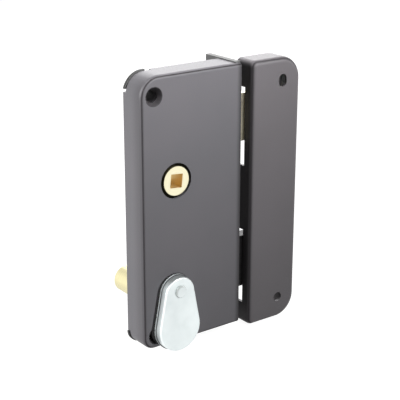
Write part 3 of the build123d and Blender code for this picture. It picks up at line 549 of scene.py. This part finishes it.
# Painted shade on the rivet: its sides darker, and a grey crescent at its upper left.
rivet_axis = axis_of("cover_rivet")
crescent_shift = 0.0007
crescent_centre = (rivet_axis[0] + crescent_shift, 0, rivet_axis[2] - crescent_shift)
rivet_side_shade = (0.17, 0.19, 0.18)
rivet_shade_crescent = (0.50, 0.54, 0.53)
rivet_nickel = finish_of(
    "rivet_nickel",
    plated_steel,
    nickel_finish,
    metallic=0.4,
    relief=0.00001,
    shades=[
        shade(bend_line, rivet_side_shade, rougher=0.6, Middle=0.45, Spread=0.53, Strength=1.5),
        shade(rim_line, rivet_shade_crescent, rougher=0.1, Centre=crescent_centre, Radius=0.0026,
              Softness=0.0010),
    ],
)
dress(rivet_nickel, "cover_rivet")

base_front = (0.11, 0.11, 0.12)
base_nickel = finish_of(
    "base_nickel",
    plated_steel,
    nickel_finish,
    metallic=0.4,
    relief=0.00001,
    shades=[shade(bend_line, base_front, rougher=0.2, Middle=1.0, Spread=0.3, Strength=1.0)],
)
dress(base_nickel, "cover_base")

base_low, base_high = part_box("cover_base")
base_seat = base_high[1]
base_middle = axis_of("cover_base")[0]
base_radii = (0.00925, 0.0128)
base_centres = (base_high[2] - base_radii[0], base_low[2] + base_radii[1])
# The thin black sheet round the base is painted shadow on the case, left of and below the cover.
shadow_edge = 0.0009
shadow_shift = (-0.0006, -0.0004)
shadow_thick = 0.00025
shadow_gap = 0.00002
shadow_end = case_low[2] + 0.0015
shadow_fade = 0.006
arc_points = 32


def pear_loop(form, edge, shift, lift):
    """Vertices over the base's pear outline, grown by an edge, at a lift above the case. They run
    from where the painted shadow fades in at the lower right to where it fades out at the lower left."""
    upper_radius, lower_radius = base_radii
    upper_centre, lower_centre = base_centres
    lean = asin((lower_radius - upper_radius) / (upper_centre - lower_centre))
    below = asin((lower_centre - shadow_end) / lower_radius)
    loop = []
    for radius, centre, start, sweep in (
        (lower_radius, lower_centre, -below, lean + below),
        (upper_radius, upper_centre, lean, pi - 2 * lean),
        (lower_radius, lower_centre, pi - lean, lean + below),
    ):
        for step in range(arc_points):
            angle = start + sweep * step / (arc_points - 1)
            level = centre + radius * sin(angle)
            kept = max(0, min(1, (level - shadow_end) / shadow_fade))
            out = radius + max(edge * kept, shadow_gap)
            loop.append(form.verts.new((
                base_middle + shift[0] * kept + out * cos(angle),
                base_seat - lift,
                centre + shift[1] * kept + out * sin(angle),
            )))
    return loop


form = bmesh.new()
loops = [
    pear_loop(form, shadow_edge, shadow_shift, shadow_gap),
    pear_loop(form, shadow_edge, shadow_shift, shadow_thick),
    pear_loop(form, 0, (0, 0), shadow_thick),
    pear_loop(form, 0, (0, 0), shadow_gap),
]
for number, loop in enumerate(loops):
    beyond = loops[(number + 1) % len(loops)]
    for point in range(1, len(loop)):
        form.faces.new((loop[point - 1], loop[point], beyond[point], beyond[point - 1]))
bmesh.ops.remove_doubles(form, verts=form.verts, dist=0.000001)
# Black of the painted shadow round the base.
shadow_black = finish_of(
    "shadow_black",
    stoved_paint,
    {"Color": (0.008, 0.008, 0.009, 1), "Cloud Color": (0.014, 0.013, 0.014, 1),
     "Cloud Scale": 300, "Peel Scale": 2500, "Roughness": 0.85},
    metallic=0.0,
    relief=0.00001,
)
base_shadow = mesh_piece("base_shadow", form, shadow_black, smooth=False)
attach(base_shadow, "lock_case")


# Machine screws from behind. Slotted cheese-head screws in bright zinc hold the back plate to
# the posts.
dress(zinc, "case_screw_1", "case_screw_2", "case_screw_3")


# Keeper. A long box pressed from the same sheet as the case, with windows for latch and
# deadbolt and one slot and one hole for its wood screws; a zinc brace is riveted in at the slot.
# Painted shade: darker over the bends, and near black on the walls that face the case.
keeper_left_shade = (0.02, 0.018, 0.02)
keeper_paint = finish_of(
    "keeper_paint",
    stoved_paint,
    {"Color": (0.116, 0.108, 0.116, 1), "Cloud Color": (0.108, 0.101, 0.107, 1),
     "Cloud Scale": 30, "Peel Scale": 1100, "Roughness": 0.40},
    metallic=0.1,
    relief=0.00001,
    shades=[
        shade(bend_line, shade_paint, rougher=0.35, Middle=0.70, Spread=0.295, Strength=1.1),
        shade(bend_line, keeper_left_shade, rougher=0.3, Towards=(-1, 0, 0), Middle=1.0, Spread=0.4,
              Strength=0.9),
    ],
)
dress(keeper_paint, "keeper_shell")
dress(zinc, "keeper_rivet_1", "keeper_rivet_2")
brace_zinc = finish_of(
    "brace_zinc",
    plated_steel,
    {"Color": (0.86, 0.88, 0.89, 1), "Dull Color": (0.66, 0.68, 0.70, 1),
     "Stretch": (1, 1, 1), "Grain Scale": 420, "Roughness": 0.50},
    metallic=0.0,
    relief=0.000008,
)
dress(brace_zinc, "keeper_brace")


# Floor and backdrop. A plain pale floor and a white surround, as the camera, metal and glass see
# them; other rays meet less light, so that the pieces are lit by the lamps.
def backdrop_rays(tree):
    """1 for camera, glossy and transmission rays."""
    rays = tree.nodes.new("ShaderNodeLightPath").outputs
    seen = math_node(tree, "MAXIMUM", rays["Is Camera Ray"], rays["Is Glossy Ray"])
    return math_node(tree, "MAXIMUM", seen, rays["Is Transmission Ray"])


surround_light = 0.20
world = bpy.data.worlds.new("world")
bpy.context.scene.world = world
world.use_nodes = True
tree = world.node_tree
surround = tree.nodes["Background"].inputs
surround["Color"].default_value = (1, 1, 1, 1)
strength = math_node(tree, "MULTIPLY_ADD", backdrop_rays(tree), 1 - surround_light, surround_light)
feed(tree, strength, surround["Strength"])

floor_size = 4.0
floor_gap = 0.0005
floor_grey = 0.3
floor_glow = 0.95
shadow_grey = 0.25
bpy.ops.mesh.primitive_plane_add(size=floor_size, location=(0, 0, cad_box[0][2] - floor_gap))
floor = bpy.context.object
floor.name = "floor"
floor_paint = bpy.data.materials.new("floor_white")
floor_paint.use_nodes = True
tree = floor_paint.node_tree
matt = tree.nodes["Principled BSDF"]
matt.inputs["Base Color"].default_value = (floor_grey, floor_grey, floor_grey, 1)
matt.inputs["Roughness"].default_value = 0.9
glow = tree.nodes.new("ShaderNodeEmission")
glow.inputs["Strength"].default_value = floor_glow
veil = tree.nodes.new("ShaderNodeBsdfDiffuse")
veil.inputs["Color"].default_value = (shadow_grey, shadow_grey, shadow_grey, 1)
white = tree.nodes.new("ShaderNodeAddShader")
feed(tree, glow.outputs["Emission"], white.inputs[0])
feed(tree, veil.outputs["BSDF"], white.inputs[1])
choice = tree.nodes.new("ShaderNodeMixShader")
feed(tree, backdrop_rays(tree), choice.inputs["Fac"])
feed(tree, matt.outputs["BSDF"], choice.inputs[1])
feed(tree, white.outputs["Shader"], choice.inputs[2])
feed(tree, choice.outputs["Shader"], tree.nodes["Material Output"].inputs["Surface"])
floor.data.materials.append(floor_paint)


# Lamps. A soft key above in front, whose light falls off down the case, a panel at the left
# that lights the closed side and the barrel, and a panel behind that glances off the top faces.
def panel(name, place, target, size, power, spread=180):
    """Square soft lamp that faces a target, with its beam as wide as spread in degrees."""
    data = bpy.data.lights.new(name, "AREA")
    data.energy = power
    data.size = size
    data.spread = radians(spread)
    light = bpy.data.objects.new(name, data)
    light.location = place
    light.rotation_euler = (Vector(target) - Vector(place)).to_track_quat("-Z", "Y").to_euler()
    bpy.context.collection.objects.link(light)


panel("lamp_key", (0.16, -0.36, 0.40), (0.02, 0, 0.16), size=0.20, power=0.75, spread=48)
panel("lamp_left", (-0.90, 0.10, 0.30), (0, 0, 0), size=0.60, power=12.7)
panel("lamp_behind", (0.50, 0.80, 0.42), (0.02, 0, 0), size=0.70, power=4.5)
